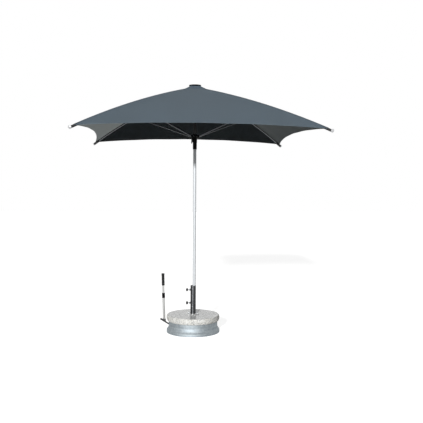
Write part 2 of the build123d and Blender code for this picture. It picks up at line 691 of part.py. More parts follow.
# Clamp knobs, their screws and the pads that press the pole.
for place, clamp_z in CLAMP_HEIGHTS.items():
    pad_face = -POLE_D / 2 - RUN
    screw_tip = pad_face - PAD_T - SEAT
    knob_x = BASE_X - KNOB_REACH

    with BuildPart() as pad:
        with Locations((pad_face, 0, clamp_z)):
            Cylinder(PAD_R, PAD_T, rotation=(0, -90, 0), align=(Align.CENTER, Align.CENTER, Align.MIN))
        chamfer(pad.edges().group_by(Axis.X)[-1], 1.0)
    pad.part.label = f"clamp_pad_{place}"
    export_step(pad.part, f"parts/clamp_pad_{place}.step")

    with BuildPart() as screw:
        with Locations((screw_tip, 0, clamp_z)):
            Cylinder(
                SCREW_R,
                screw_tip - knob_x,
                rotation=(0, -90, 0),
                align=(Align.CENTER, Align.CENTER, Align.MIN),
            )
    screw.part.label = f"clamp_screw_{place}"
    export_step(screw.part, f"parts/clamp_screw_{place}.step")

    with BuildPart() as knob:
        half = KNOB_T / 2
        with BuildSketch(Plane.XZ):
            with Locations((knob_x, clamp_z)):
                Polygon(
                    (-half, 0),
                    (-half, 7),
                    (-half * 0.4, KNOB_R - 1),
                    (-half * 0.2, KNOB_R),
                    (half * 0.2, KNOB_R),
                    (half * 0.4, KNOB_R - 1),
                    (half, 9),
                    (half, 0),
                    align=None,
                )
        revolve(axis=Axis((knob_x, 0, clamp_z), (1, 0, 0)))
        with BuildSketch(Plane(origin=(knob_x - half, 0, clamp_z), x_dir=(0, 1, 0), z_dir=(1, 0, 0))):
            with PolarLocations(KNOB_R + 3.5, 5, start_angle=18):
                Circle(6.5)
        extrude(amount=KNOB_T, mode=Mode.SUBTRACT)
        with Locations((knob_x - SEAT, 0, clamp_z)):
            Cylinder(
                SCREW_R + SEAT,
                KNOB_T,
                rotation=(0, 90, 0),
                align=(Align.CENTER, Align.CENTER, Align.MIN),
                mode=Mode.SUBTRACT,
            )
    knob.part.label = f"clamp_knob_{place}"
    export_step(knob.part, f"parts/clamp_knob_{place}.step")

# Cranked axles: turning them with the lever swings all four wheels down below the skirt.
AXLE_X = {"front": BASE_X - AXLE_REACH, "rear": BASE_X + AXLE_REACH}
THROW_XZ = (-THROW * cos(radians(THROW_ANGLE)), THROW * sin(radians(THROW_ANGLE)))
ROCKER_XZ = (ROCKER * sin(radians(THROW_ANGLE)), ROCKER * cos(radians(THROW_ANGLE)))
WHEEL_Y = ARM_Y + ARM_T + RUN
ROD_Y = ROCKER_Y + ROCKER_T + RUN

for place, axle_x in AXLE_X.items():
    throw = (axle_x + THROW_XZ[0], AXLE_Z + THROW_XZ[1])
    rocker = (axle_x + ROCKER_XZ[0], AXLE_Z + ROCKER_XZ[1])

    with BuildPart() as axle:
        with Locations((axle_x, 0, AXLE_Z)):
            Cylinder(AXLE_R, 2 * ARM_Y + 2 * ARM_T, rotation=(90, 0, 0))
        for side in (1, -1):
            with BuildSketch(Plane.XZ.offset(-side * ARM_Y)):
                arm((axle_x, AXLE_Z), throw, 14.0, 11.0)
            extrude(amount=-side * ARM_T)
            with BuildSketch(Plane.XZ.offset(-side * ARM_Y)):
                with Locations(throw):
                    Circle(WHEEL_PIN_R)
            extrude(amount=-side * (ARM_T + WHEEL_W + 2 * RUN + 3))
            with BuildSketch(Plane.XZ.offset(-side * (WHEEL_Y + WHEEL_W + RUN))):
                with Locations(throw):
                    Circle(WHEEL_PIN_R + 3)
            extrude(amount=-side * 3)
        with BuildSketch(Plane.XZ.offset(-ROCKER_Y)):
            arm((axle_x, AXLE_Z), rocker, 14.0, 8.0)
        extrude(amount=-ROCKER_T)
        with BuildSketch(Plane.XZ.offset(-ROCKER_Y)):
            with Locations(rocker):
                Circle(5.0)
        extrude(amount=-(ROCKER_T + ROD_T + 2 * RUN + 2))
    axle.part.label = f"lift_axle_{place}"
    export_step(axle.part, f"parts/lift_axle_{place}.step")

    for hand, side in (("left", 1), ("right", -1)):
        with BuildPart() as wheel:
            wheel_y = side * (WHEEL_Y + WHEEL_W / 2)
            with Locations((throw[0], wheel_y, throw[1])):
                Cylinder(WHEEL_R, WHEEL_W, rotation=(90, 0, 0))
                Cylinder(WHEEL_PIN_R + RUN, WHEEL_W, rotation=(90, 0, 0), mode=Mode.SUBTRACT)
            chamfer(wheel.edges().filter_by(GeomType.CIRCLE).sort_by(SortBy.RADIUS)[-2:], 3.0)
            for face_side in (1, -1):
                groove = wheel_y + face_side * (WHEEL_W / 2)
                with Locations((throw[0], groove, throw[1])):
                    Cylinder(27.0, 8.0, rotation=(90, 0, 0), mode=Mode.SUBTRACT)
                    Cylinder(13.0, 8.0, rotation=(90, 0, 0))
                    Cylinder(WHEEL_PIN_R + RUN, 9.0, rotation=(90, 0, 0), mode=Mode.SUBTRACT)
            with Locations((throw[0], wheel_y + WHEEL_W, throw[1]), (throw[0], wheel_y - WHEEL_W, throw[1])):
                Cylinder(WHEEL_R, WHEEL_W, rotation=(90, 0, 0), mode=Mode.SUBTRACT)
        wheel.part.label = f"wheel_{place}_{hand}"
        export_step(wheel.part, f"parts/wheel_{place}_{hand}.step")

with BuildPart() as rod:
    rod_ends = [(x + ROCKER_XZ[0], AXLE_Z + ROCKER_XZ[1]) for x in AXLE_X.values()]
    with BuildSketch(Plane.XZ.offset(-ROD_Y)):
        arm(rod_ends[0], rod_ends[1], ROD_W / 2 + 2, ROD_W / 2 + 2)
        with Locations(*rod_ends):
            Circle(5.0 + RUN, mode=Mode.SUBTRACT)
    extrude(amount=-ROD_T)
rod.part.label = "tie_rod"
export_step(rod.part, "parts/tie_rod.step")

with BuildPart() as bearings:
    bearing_top = PLATE_Z - SEAT
    for axle_x in AXLE_X.values():
        for y in (BEARING_Y, -BEARING_Y):
            with Locations((axle_x, y, bearing_top)):
                Box(
                    BEARING_L,
                    BEARING_W,
                    bearing_top - AXLE_Z + AXLE_R + 6,
                    align=(Align.CENTER, Align.CENTER, Align.MAX),
                )
            with Locations((axle_x, y, AXLE_Z)):
                Cylinder(AXLE_R + RUN, 2 * BEARING_W, rotation=(90, 0, 0), mode=Mode.SUBTRACT)
bearings.part.label = "axle_bearings"
export_step(bearings.part, "parts/axle_bearings.step")

# Jack lever: keyed on the front axle, out through the notch and up to a foot stub, with the handle socket.
with BuildPart() as lever:
    points = [(AXLE_X["front"], AXLE_Z), LEVER_WALL_POINT, HANDLE_FOOT, LEVER_END]
    for start, end in zip(points, points[1:]):
        with BuildSketch(Plane.XZ):
            arm(start, end, LEVER_R, LEVER_R)
        extrude(amount=LEVER_T / 2, both=True)
    with BuildSketch(Plane.XZ):
        with Locations(points[0]):
            Circle(18.0)
    extrude(amount=LEVER_T, both=True)
    with BuildSketch(HANDLE_PLANE):
        Circle(SOCKET_R)
    extrude(amount=SOCKET_H)
    with BuildSketch(HANDLE_PLANE.offset(LEVER_R + 1)):
        Circle(OUTER_R + SEAT)
    extrude(amount=SOCKET_H, mode=Mode.SUBTRACT)
    with BuildSketch(Plane.XZ):
        with Locations(LEVER_END):
            Circle(LEVER_R + 1)
    extrude(amount=20, both=True)
    with Locations((AXLE_X["front"], 0, AXLE_Z)):
        Cylinder(AXLE_R + SEAT, 60, rotation=(90, 0, 0), mode=Mode.SUBTRACT)
lever.part.label = "jack_lever"
export_step(lever.part, "parts/jack_lever.step")

# Telescopic handle.
with BuildPart() as outer_tube:
    with BuildSketch(HANDLE_PLANE.offset(LEVER_R + 1 + SEAT)):
        Circle(OUTER_R)
        Circle(OUTER_R - TUBE_WALL, mode=Mode.SUBTRACT)
    extrude(amount=COLLAR_FROM + 12 - LEVER_R - 1 - SEAT)
outer_tube.part.label = "handle_tube"
export_step(outer_tube.part, "parts/handle_tube.step")

with BuildPart() as collar:
    with BuildSketch(Plane(HANDLE_PLANE.origin, x_dir=HANDLE_PLANE.y_dir, z_dir=(0, 1, 0))):
        with BuildLine():
            step = COLLAR_FROM + 12 + RUN
            Polyline(
                (OUTER_R + RUN, COLLAR_FROM),
                (COLLAR_R - 1, COLLAR_FROM),
                (COLLAR_R, COLLAR_FROM + 8),
                (COLLAR_R, COLLAR_TO - 3),
                (COLLAR_R - 2, COLLAR_TO),
                (INNER_R + SIDE, COLLAR_TO),
                (INNER_R + SIDE, step),
                (OUTER_R + RUN, step),
                close=True,
            )
        make_face()
    revolve(axis=Axis(HANDLE_PLANE.origin, HANDLE_PLANE.z_dir))
collar.part.label = "handle_collar"
export_step(collar.part, "parts/handle_collar.step")

with BuildPart() as inner_tube:
    with BuildSketch(HANDLE_PLANE.offset(INNER_FROM)):
        Circle(INNER_R)
        Circle(INNER_R - TUBE_WALL, mode=Mode.SUBTRACT)
    extrude(amount=GRIP_TO - 6 - INNER_FROM)
inner_tube.part.label = "handle_inner_tube"
export_step(inner_tube.part, "parts/handle_inner_tube.step")

with BuildPart() as grip:
    with BuildSketch(Plane(HANDLE_PLANE.origin, x_dir=HANDLE_PLANE.y_dir, z_dir=(0, 1, 0))):
        with BuildLine():
            Polyline(
                (INNER_R + SEAT, GRIP_TO - 6 + SEAT),
                (INNER_R + SEAT, GRIP_FROM),
                (GRIP_R - 1, GRIP_FROM),
                (GRIP_R, GRIP_FROM + 2),
                (GRIP_R, GRIP_TO - 12),
                (GRIP_R + 2.5, GRIP_TO - 8),
                (GRIP_R + 2.5, GRIP_TO - 4),
                (GRIP_R - 3, GRIP_TO),
                (0, GRIP_TO),
                (0, GRIP_TO - 6 + SEAT),
                close=True,
            )
        make_face()
        with Locations(*[(GRIP_R + 0.6, GRIP_FROM + 14 + 10 * i) for i in range(10)]):
            Circle(2.2, mode=Mode.SUBTRACT)
    revolve(axis=Axis(HANDLE_PLANE.origin, HANDLE_PLANE.z_dir))
grip.part.label = "handle_grip"
export_step(grip.part, "parts/handle_grip.step")
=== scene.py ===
"""Patio umbrella with a square slate canopy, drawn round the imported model.

Metres, in the model's own frame.
"""

import json

import bmesh
import bpy
import numpy as np
from mathutils import Matrix


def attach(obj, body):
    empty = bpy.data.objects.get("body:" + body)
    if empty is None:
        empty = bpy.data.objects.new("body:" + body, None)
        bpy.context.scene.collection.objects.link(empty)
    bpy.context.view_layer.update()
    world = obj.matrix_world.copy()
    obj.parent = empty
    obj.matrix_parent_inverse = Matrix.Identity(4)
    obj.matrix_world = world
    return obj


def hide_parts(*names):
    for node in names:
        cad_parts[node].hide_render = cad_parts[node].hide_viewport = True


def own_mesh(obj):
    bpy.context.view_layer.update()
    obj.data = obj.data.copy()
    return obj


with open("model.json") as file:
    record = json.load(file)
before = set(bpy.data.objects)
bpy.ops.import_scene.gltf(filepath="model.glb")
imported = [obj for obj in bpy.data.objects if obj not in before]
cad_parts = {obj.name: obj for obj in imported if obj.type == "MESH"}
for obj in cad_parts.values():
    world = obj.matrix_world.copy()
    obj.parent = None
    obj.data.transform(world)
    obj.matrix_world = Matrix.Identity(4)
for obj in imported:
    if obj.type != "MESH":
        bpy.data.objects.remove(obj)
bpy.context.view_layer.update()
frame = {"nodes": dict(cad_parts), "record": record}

ROOT2 = 2**0.5
SIDES = ("right", "far", "left", "near")

# Canopy, as in the solids: half its side, the hem's bow and what is trimmed off each corner.
HALF, HEM_BOW, CORNER_CUT = 1.183, 0.087, 0.017

# Ridge over a rib, from the pole to a little past the corner: its ends, its fall and the rise of its bow.
RIDGE_START, RIDGE_TOP, RIDGE_OVERRUN = 0.048, 2.6846, 0.017
RIDGE_END, RIDGE_FALL, RIDGE_BOW = HALF * ROOT2 + RIDGE_OVERRUN, 0.5354, 0.040

# Neck round the pole: its flat top, half width there and at its foot, its lift and how sharply that grows.
NECK_TOP, NECK_HALF, NECK_FOOT = 2.7025, 0.044, 0.117
NECK_LIFT, NECK_POWER = 0.0225, 1.15

# Cloth: its thickness, the doubled bands at hem and seam, what the second cloth adds when it is pressed
# flat, and over what distance each band ends.
CLOTH, HEM_BAND, SEAM_BAND = 0.0012, 0.020, 0.0064
PRESSED, HEM_EASE, SEAM_EASE = 0.6, 0.002, 0.0014

# Slack between the ribs: sag halfway down, droop at the hem, and the hem's ripples.
SAG, HEM_DROOP, RIPPLE, RIPPLE_TURN = 0.011, 0.007, 0.0011, 15

# Where the panels start, and the crown patch: its half side, stem hole, squareness and lift.
PANEL_FROM = 0.060
PATCH_HALF, PATCH_HOLE, PATCH_SQUARE, PATCH_LIFT = 0.066, 0.0165, 0.85, 0.0002
PATCH_RINGS, PATCH_COLUMNS = 26, 96

# Cloth grid: shares of the way from neck to hem, closer together at both ends; shares across the seam
# band; columns across half a strip and across the rest of a half panel; and rounds until its hem settles.
NECK_SHARE, HEM_SHARE = 0.12, 0.97
NECK_ROWS, MIDDLE_ROWS, HEM_ROWS = 13, 51, 9
ROWS = np.concatenate(
    (
        np.linspace(0, NECK_SHARE, NECK_ROWS, endpoint=False),
        np.linspace(NECK_SHARE, HEM_SHARE, MIDDLE_ROWS, endpoint=False),
        np.linspace(HEM_SHARE, 1, HEM_ROWS),
    )
)[:, None]
SEAM_SHARES = np.array([0, 0.22, 0.44, 0.66, 0.9, 1])
STRIP_COLUMNS, PANEL_COLUMNS, SETTLE_ROUNDS = 13, 34, 40

# Folding, as in the solids: the rib's pivot and how far it turns.
PIVOT_R, PIVOT_Z, FOLD = 0.048, 2.6723, np.radians(69.15)

# Strip along each ridge that keeps its shape in the fold: its sag, where its notch starts, its width at
# the corner and how much of the way to the panel's middle it may take.
STRIP_SAG, NOTCH_FROM, STRIP_TIP, STRIP_REACH = 0.008, 0.82, 0.030, 0.98

# Gathering of the rest: how far from the ridge, from which of its points, how closely and how tipped.
GATHER_AT, GATHER_FROM, GATHERED, GATHER_TIP = 0.036, 0.45, 0.05, np.radians(5)

# Sleeve along each rib: its reach from the pole and cut length, its half width, hang beside the rib,
# cloth and gap under the doubled seam, then its grid.
SLEEVE_FROM, SLEEVE_TO, SLEEVE_RUN = 0.125, 1.600, 1.56
SLEEVE_HALF, SLEEVE_HANG, SLEEVE_CLOTH, SLEEVE_GAP = 0.0076, 0.011, 0.0007, 0.0001
SLEEVE_ROWS, SLEEVE_COLUMNS, HANG_SHARES = 180, 7, (1, 0.6, 0.2)

# Strut's clamp, where the sleeve is cut away: its place on the rib, half length and the slope of the cut.
CLAMP_R, CLAMP_HALF, CLAMP_EASE = 0.907, 0.030, 0.006

# Pocket round each rib end: its reach, half width, half height, drop below the ridge, swell, webbing and
# cut size; then its grid, and the radius that its map is drawn at.
POCKET_FROM, POCKET_TO = 1.600, 1.684
POCKET_HALF, POCKET_TALL, POCKET_DROP, POCKET_SWELL = 0.0185, 0.0135, 0.0155, 0.05
POCKET_CLOTH, POCKET_FLAT = 0.0008, (0.104, 0.089)
POCKET_ROWS, POCKET_COLUMNS, POCKET_MAP_R = 22, 32, 0.02

# Slab, as in the solid: the base's axis, then its top, widest line and foot with their radii.
BASE_X = -0.01035
SLAB_TOP, SLAB_WIDEST, SLAB_FOOT = 0.1909, 0.161, 0.1251
SLAB_TOP_R, SLAB_R, SLAB_FOOT_R = 0.2835, 0.2899, 0.2750

# Slab grid: rings on its top and foot, rows on each half of its rim, and columns round it.
TOP_RINGS, FOOT_RINGS = (0.0, 0.10, 0.20, 0.26, 0.279), (0.20, 0.0)
RIM_ROWS, SLAB_COLUMNS = 6, 288

# Strikes that broke the rim: how many, the seed they are drawn from, between which heights, how fast a
# scallop rises from its strike, how deep it starts, how far in and out it may move the rim, and how far
# from the polished top and the foot it keeps.
STRIKES, STRIKE_SEED, STRIKE_LOW, STRIKE_HIGH = 150, 7, 0.118, 0.200
BOWL, BOWL_DEPTH, BITE_IN, BITE_OUT = 6.72, 0.0014, -0.0016, 0.0030
CLEAR_OF_TOP, CLEAR_OF_FOOT = 0.001, 0.0004

# From inside the runner up the pole is tinted black: painted shade under the canopy. The holder's tube is
# tinted dark above its foot flange, a painted dark reflection; the flange, paler, ends here.
POLE_SHADE_FROM, FLANGE_TOP = 2.12, 0.1994

# Patterns: a wave texture repeats every WAVE over its scale. Yarns are about 0.6 mm apart and the
# webbing's cords 1.5 mm; both are drawn coarser so that they show close up.
WAVE = np.pi / 10
YARN, CORD = 0.001508, 0.001885

# Stitches: their length, the distance from one to the next, half the thread's width, drawn at twice the
# real 0.6 mm so that it shows, and how far the rows are from a ridge and from the hem.
STITCH, STITCH_BEAT, THREAD = 0.0035, 0.0045, 0.0006
RIDGE_STITCHES, HEM_STITCHES = (0.003, 0.008), (0.003, 0.017)

# Light: the key's strength, spread, turn to the left and rise; the backdrop as fill and as mirrored.
KEY, KEY_SPREAD, KEY_TURN, KEY_RISE = 4.8, 0.07, np.radians(17), np.radians(17.6)
FILL, MIRRORED = 0.02, 0.9

# Floor: half its side, and its own glow as the camera sees it and as metal mirrors it.
FLOOR_HALF, FLOOR_GLOW, FLOOR_MIRRORED = 30.0, 0.86, 0.5

# Camera, fitted to the photograph: its place, its turn to the right, tilt and roll in radians, the focal
# length in pixels of a frame this wide, and the sensor in millimetres.
CAMERA_PLACE = (-0.465, -6.967, 1.631)
YAW, PITCH, ROLL = 0.0935, -0.0428, -0.0060
FOCAL_PIXELS, FRAME_PIXELS, SENSOR = 633.38, 423, 36.0


# Materials.
def colour(code):
    """An sRGB hex colour as linear red, green, blue and 1."""
    s = np.array([int(code[i : i + 2], 16) for i in (1, 3, 5)]) / 255
    return (*np.where(s <= 0.04045, s / 12.92, ((s + 0.055) / 1.055) ** 2.4).tolist(), 1.0)


def put(tree, kind, links=None, **settings):
    """Adds a node with its settings. Each named input gets a value, or the output socket that feeds it."""
    made = tree.nodes.new("ShaderNode" + kind)
    for name, value in settings.items():
        setattr(made, name, value)
    for name, source in (links or {}).items():
        if isinstance(source, bpy.types.NodeSocket):
            tree.links.new(source, made.inputs[name])
        else:
            made.inputs[name].default_value = source
    return made


def finish(name, **sockets):
    """A new material, its node tree and its Principled shader, with plain values on the named sockets."""
    made = bpy.data.materials.new(name)
    made.use_nodes = True
    shader = made.node_tree.nodes["Principled BSDF"]
    for socket, value in sockets.items():
        shader.inputs[socket.replace("_", " ")].default_value = value
    return made, made.node_tree, shader


def yarns(tree, run):
    """Height of the crossing yarns, and their shade: streaks along both yarn directions, weathering in
    patches and darker gaps between yarns."""
    weave = []
    for direction in "XY":
        wave = put(
            tree,
            "TexWave",
            {"Vector": run, "Scale": WAVE / YARN, "Distortion": 0.6, "Detail": 1.0},
            bands_direction=direction,
        )
        weave.append(wave.outputs["Fac"])
    crossing = put(tree, "Math", {0: weave[0], 1: weave[1]}, operation="MULTIPLY").outputs[0]
    # Slubs and dye streaks, 4 mm wide and about 90 mm long along each yarn direction.
    streak = []
    for scale in ((250.0, 11.0, 1.0), (11.0, 250.0, 1.0)):
        place = put(tree, "Mapping", {"Vector": run, "Scale": scale}).outputs[0]
        streak.append(put(tree, "TexNoise", {"Vector": place, "Scale": 1.0, "Detail": 2.0}).outputs["Fac"])
    streaks = put(tree, "Math", {0: streak[0], 1: streak[1]}, operation="ADD").outputs[0]
    # Soft weathering in patches of about 300 mm.
    patch = put(tree, "TexNoise", {"Vector": run, "Scale": 3.3, "Detail": 3.0}).outputs["Fac"]
    shade = put(
        tree,
        "MapRange",
        {"Value": streaks, "From Min": 0.6, "From Max": 1.4, "To Min": 0.86, "To Max": 1.14},
    ).outputs[0]
    worn = put(
        tree,
        "MapRange",
        {"Value": patch, "From Min": 0.3, "From Max": 0.7, "To Min": 0.93, "To Max": 1.07},
    ).outputs[0]
    gaps = put(tree, "MapRange", {"Value": crossing, "To Min": 0.86, "To Max": 1.1}).outputs[0]
    tone = put(tree, "Math", {0: shade, 1: worn}, operation="MULTIPLY").outputs[0]
    return crossing, put(tree, "Math", {0: tone, 1: gaps}, operation="MULTIPLY").outputs[0]


def stitches(tree, run):
    """Where thread shows: two rows of stitches beside each ridge and two along the hem. The edges map
    gives the distance from ridge and hem, and the cloth map divides each row into stitches along it."""
    edge = put(tree, "SeparateXYZ", {0: put(tree, "UVMap", uv_map="edges").outputs["UV"]})
    along = put(tree, "SeparateXYZ", {0: run})
    rows = []
    for axis, side, offsets in (("X", "Y", RIDGE_STITCHES), ("Y", "X", HEM_STITCHES)):
        beat = put(
            tree, "Math", {0: along.outputs[side], 1: STITCH_BEAT}, operation="FLOORED_MODULO"
        ).outputs[0]
        dash = put(tree, "Math", {0: beat, 1: STITCH}, operation="LESS_THAN").outputs[0]
        for offset in offsets:
            near = put(
                tree, "Math", {0: edge.outputs[axis], 1: offset, 2: THREAD}, operation="COMPARE"
            ).outputs[0]
            rows.append(put(tree, "Math", {0: near, 1: dash}, operation="MULTIPLY").outputs[0])
    sewn = rows[0]
    for row in rows[1:]:
        sewn = put(tree, "Math", {0: sewn, 1: row}, operation="MAXIMUM").outputs[0]
    return sewn


def woven_cloth(name, dye_and_shade, through, sheen, gloss):
    """Plain weave acrylic canvas, solution dyed: a matt face with a dry sheen, yarns that vary a little
    in shade, stitched hems and seams, and about half of the light scattered through. A near-black tone
    given for the back is painted shade."""
    made, tree, shader = finish(
        name, Roughness=0.86, Sheen_Weight=sheen, Sheen_Roughness=0.5, Specular_IOR_Level=gloss
    )
    run = put(tree, "UVMap", uv_map="cloth").outputs["UV"]
    crossing, tone = yarns(tree, run)
    sewn = stitches(tree, run)
    coloured = put(
        tree, "Mix", {0: 1.0, 6: colour(dye_and_shade), 7: tone}, data_type="RGBA", blend_type="MULTIPLY"
    ).outputs[2]
    threaded = put(tree, "Mix", {0: sewn, 6: coloured, 7: colour("#3c4248")}, data_type="RGBA").outputs[2]
    tree.links.new(threaded, shader.inputs["Base Color"])
    relief = put(tree, "Math", {0: sewn, 1: 0.6, 2: crossing}, operation="MULTIPLY_ADD").outputs[0]
    bump = put(tree, "Bump", {"Height": relief, "Strength": 0.35, "Distance": 0.0004}).outputs[0]
    tree.links.new(bump, shader.inputs["Normal"])
    glow = put(tree, "BsdfTranslucent", {"Color": colour(through)}).outputs[0]
    mixed = put(tree, "MixShader", {0: 0.53, 1: shader.outputs[0], 2: glow}).outputs[0]
    tree.links.new(mixed, tree.nodes["Material Output"].inputs["Surface"])
    return made


def webbing(name):
    """Black polyester webbing: matt, with raised cords across it and a slight mottle of about 8 mm."""
    made, tree, shader = finish(name, Roughness=0.78, Sheen_Weight=0.1)
    run = put(tree, "UVMap", uv_map="cloth").outputs["UV"]
    cords = put(tree, "TexWave", {"Vector": run, "Scale": WAVE / CORD}, bands_direction="Y").outputs["Fac"]
    mottle = put(tree, "TexNoise", {"Vector": run, "Scale": 120.0, "Detail": 3.0}).outputs["Fac"]
    tone = put(tree, "Math", {0: cords, 1: mottle}, operation="MULTIPLY").outputs[0]
    black = put(tree, "Mix", {0: tone, 6: colour("#08080a"), 7: colour("#1c1d20")}, data_type="RGBA")
    tree.links.new(black.outputs[2], shader.inputs["Base Color"])
    bump = put(tree, "Bump", {"Height": cords, "Strength": 0.5, "Distance": 0.0004}).outputs[0]
    tree.links.new(bump, shader.inputs["Normal"])
    return made


def drawn_metal(name, tint, rough, line_mm, streak_mm, depth, metallic=1.0, painted_shade_above=None, spread=0.0):
    """Drawn, turned or polished metal: fine lines, of a width across and a length up and down, change the
    gloss, with faint handling marks of about 55 mm. A tube may take a darker tint above a given height,
    as painted shade, and turning marks round it may spread its highlight up and down."""
    made, tree, shader = finish(name, Metallic=metallic, Anisotropic=spread, Anisotropic_Rotation=0.25)
    place = put(tree, "TexCoord").outputs["Object"]
    scale = (1000 / line_mm, 1000 / line_mm, 1000 / streak_mm)
    lines = put(tree, "Mapping", {"Vector": place, "Scale": scale}).outputs[0]
    grain = put(tree, "TexNoise", {"Vector": lines, "Scale": 1.0, "Detail": 3.0}).outputs["Fac"]
    marks = put(tree, "TexNoise", {"Vector": place, "Scale": 18.0, "Detail": 4.0}).outputs["Fac"]
    both = put(tree, "Math", {0: grain, 1: 0.6, 2: marks}, operation="MULTIPLY_ADD").outputs[0]
    gloss = put(
        tree,
        "MapRange",
        {"Value": both, "From Min": 0.5, "From Max": 1.1, "To Min": rough * 0.75, "To Max": rough * 1.3},
    ).outputs[0]
    tree.links.new(gloss, shader.inputs["Roughness"])
    pale = put(
        tree, "MapRange", {"Value": grain, "From Min": 0.3, "From Max": 0.7, "To Min": 0.92, "To Max": 1.05}
    ).outputs[0]
    tone = put(
        tree, "Mix", {0: 1.0, 6: colour(tint), 7: pale}, data_type="RGBA", blend_type="MULTIPLY"
    ).outputs[2]
    if painted_shade_above:
        height = put(tree, "SeparateXYZ", {0: place}).outputs["Z"]
        upper = put(tree, "Math", {0: height, 1: painted_shade_above[0]}, operation="GREATER_THAN").outputs[0]
        tone = put(tree, "Mix", {0: upper, 6: tone, 7: colour(painted_shade_above[1])}, data_type="RGBA").outputs[2]
    tree.links.new(tone, shader.inputs["Base Color"])
    bump = put(tree, "Bump", {"Height": grain, "Strength": depth, "Distance": 0.0002}).outputs[0]
    tree.links.new(bump, shader.inputs["Normal"])
    return made


def moulded(name, dark, pale, rough, grain_mm, depth, gloss=0.5):
    """Moulded polymer or paint: a matt skin, finely grained, with paler rubbed places of about 40 mm."""
    made, tree, shader = finish(name, Specular_IOR_Level=gloss)
    place = put(tree, "TexCoord").outputs["Object"]
    skin = put(tree, "TexNoise", {"Vector": place, "Scale": 1000 / grain_mm, "Detail": 2.0}).outputs["Fac"]
    rub = put(tree, "TexNoise", {"Vector": place, "Scale": 25.0, "Detail": 5.0}).outputs["Fac"]
    share = put(tree, "MapRange", {"Value": rub, "From Min": 0.42, "From Max": 0.75}).outputs[0]
    tone = put(tree, "Mix", {0: share, 6: colour(dark), 7: colour(pale)}, data_type="RGBA").outputs[2]
    tree.links.new(tone, shader.inputs["Base Color"])
    worn = put(tree, "MapRange", {"Value": rub, "To Min": rough - 0.1, "To Max": rough + 0.12}).outputs[0]
    tree.links.new(worn, shader.inputs["Roughness"])
    bump = put(tree, "Bump", {"Height": skin, "Strength": depth, "Distance": 0.0003}).outputs[0]
    tree.links.new(bump, shader.inputs["Normal"])
    return made


def zinc_sheet(name):
    """Galvanised sheet steel, spun to shape: bluish satin zinc with spangles and faint spinning rings."""
    made, tree, shader = finish(name, Metallic=1.0)
    place = put(tree, "TexCoord").outputs["Object"]
    # Spangles about 14 mm across.
    cells = put(tree, "TexVoronoi", {"Vector": place, "Scale": 1000 / 14, "Randomness": 1.0})
    bright = put(tree, "SeparateColor", {0: cells.outputs["Color"]}).outputs[0]
    # Spinning rings about 9 mm apart up the wall.
    height = put(tree, "Mapping", {"Vector": place, "Scale": (1.0, 1.0, 110.0)}).outputs[0]
    rings = put(tree, "TexNoise", {"Vector": height, "Scale": 1.0, "Detail": 2.0}).outputs["Fac"]
    both = put(tree, "Math", {0: bright, 1: 0.35, 2: rings}, operation="MULTIPLY_ADD").outputs[0]
    tone = put(tree, "MapRange", {"Value": both, "From Min": 0.3, "From Max": 1.0}).outputs[0]
    tint = put(tree, "Mix", {0: tone, 6: colour("#7b8389"), 7: colour("#a2a9ac")}, data_type="RGBA")
    tree.links.new(tint.outputs[2], shader.inputs["Base Color"])
    gloss = put(tree, "MapRange", {"Value": both, "To Min": 0.52, "To Max": 0.7}).outputs[0]
    tree.links.new(gloss, shader.inputs["Roughness"])
    bump = put(tree, "Bump", {"Height": rings, "Strength": 0.25, "Distance": 0.0006}).outputs[0]
    tree.links.new(bump, shader.inputs["Normal"])
    return made


def granite(name, rough, depth, pale):
    """Grey granite: pale feldspar, grey quartz and dark mica, smooth where polished, dull where hewn."""
    made, tree, shader = finish(name, Roughness=rough)
    place = put(tree, "TexCoord").outputs["Object"]
    # Grains are 2 to 4 mm; drawn at 5 mm so that they show from across a terrace.
    grains = put(tree, "TexVoronoi", {"Vector": place, "Scale": 1000 / 5}).outputs["Color"]
    kind = put(tree, "SeparateColor", {0: grains}).outputs[0]
    # Clouding in patches of about 45 mm.
    cloud = put(tree, "TexNoise", {"Vector": place, "Scale": 22.0, "Detail": 4.0}).outputs["Fac"]
    mica = put(tree, "Math", {0: kind, 1: 0.13}, operation="LESS_THAN").outputs[0]
    quartz = put(tree, "MapRange", {"Value": kind, "From Min": 0.2, "From Max": 0.9}).outputs[0]
    stone = put(tree, "Mix", {0: quartz, 6: colour("#cfd0cf"), 7: colour(pale)}, data_type="RGBA").outputs[2]
    dull = put(
        tree, "MapRange", {"Value": cloud, "From Min": 0.3, "From Max": 0.7, "To Min": 0.85, "To Max": 1.08}
    ).outputs[0]
    stone = put(tree, "Mix", {0: 1.0, 6: stone, 7: dull}, data_type="RGBA", blend_type="MULTIPLY").outputs[2]
    flecks = put(tree, "Mix", {0: mica, 6: stone, 7: colour("#6f7071")}, data_type="RGBA").outputs[2]
    tree.links.new(flecks, shader.inputs["Base Color"])
    if depth:
        # Pits of about 6 mm, down to grit, where the stone was struck off.
        pits = put(tree, "TexNoise", {"Vector": place, "Scale": 160.0, "Detail": 6.0, "Roughness": 0.7})
        bump = put(tree, "Bump", {"Height": pits.outputs["Fac"], "Strength": depth, "Distance": 0.004})
        tree.links.new(bump.outputs[0], shader.inputs["Normal"])
    return made


# Canvas: a dull blue grey on top. Its underside is near black, painted shade for the dim space under the
# canopy, with some light scattered through.
CLOTH_FINISH = woven_cloth("acrylic_canvas_slate", "#526779", "#e8f0ef", sheen=0.12, gloss=0.25)
BACK_SHADE_FINISH = woven_cloth("acrylic_canvas_back_painted_shade", "#101112", "#f2f2f1", sheen=0.0, gloss=0.05)

# Webbing: a black band along each rib, without shine.
WEB_FINISH = webbing("polyester_webbing_black")

# Stone: its top shines, and its rim is dull and rough as it was struck. The top is given a paler stone
# than the rim: painted light, so that it reads as brightly lit.
POLISHED_GRANITE = granite("granite_polished", rough=0.12, depth=0.0, pale="#f4f5f3")
HEWN_GRANITE = granite("granite_hewn", rough=0.85, depth=0.8, pale="#b9b7af")

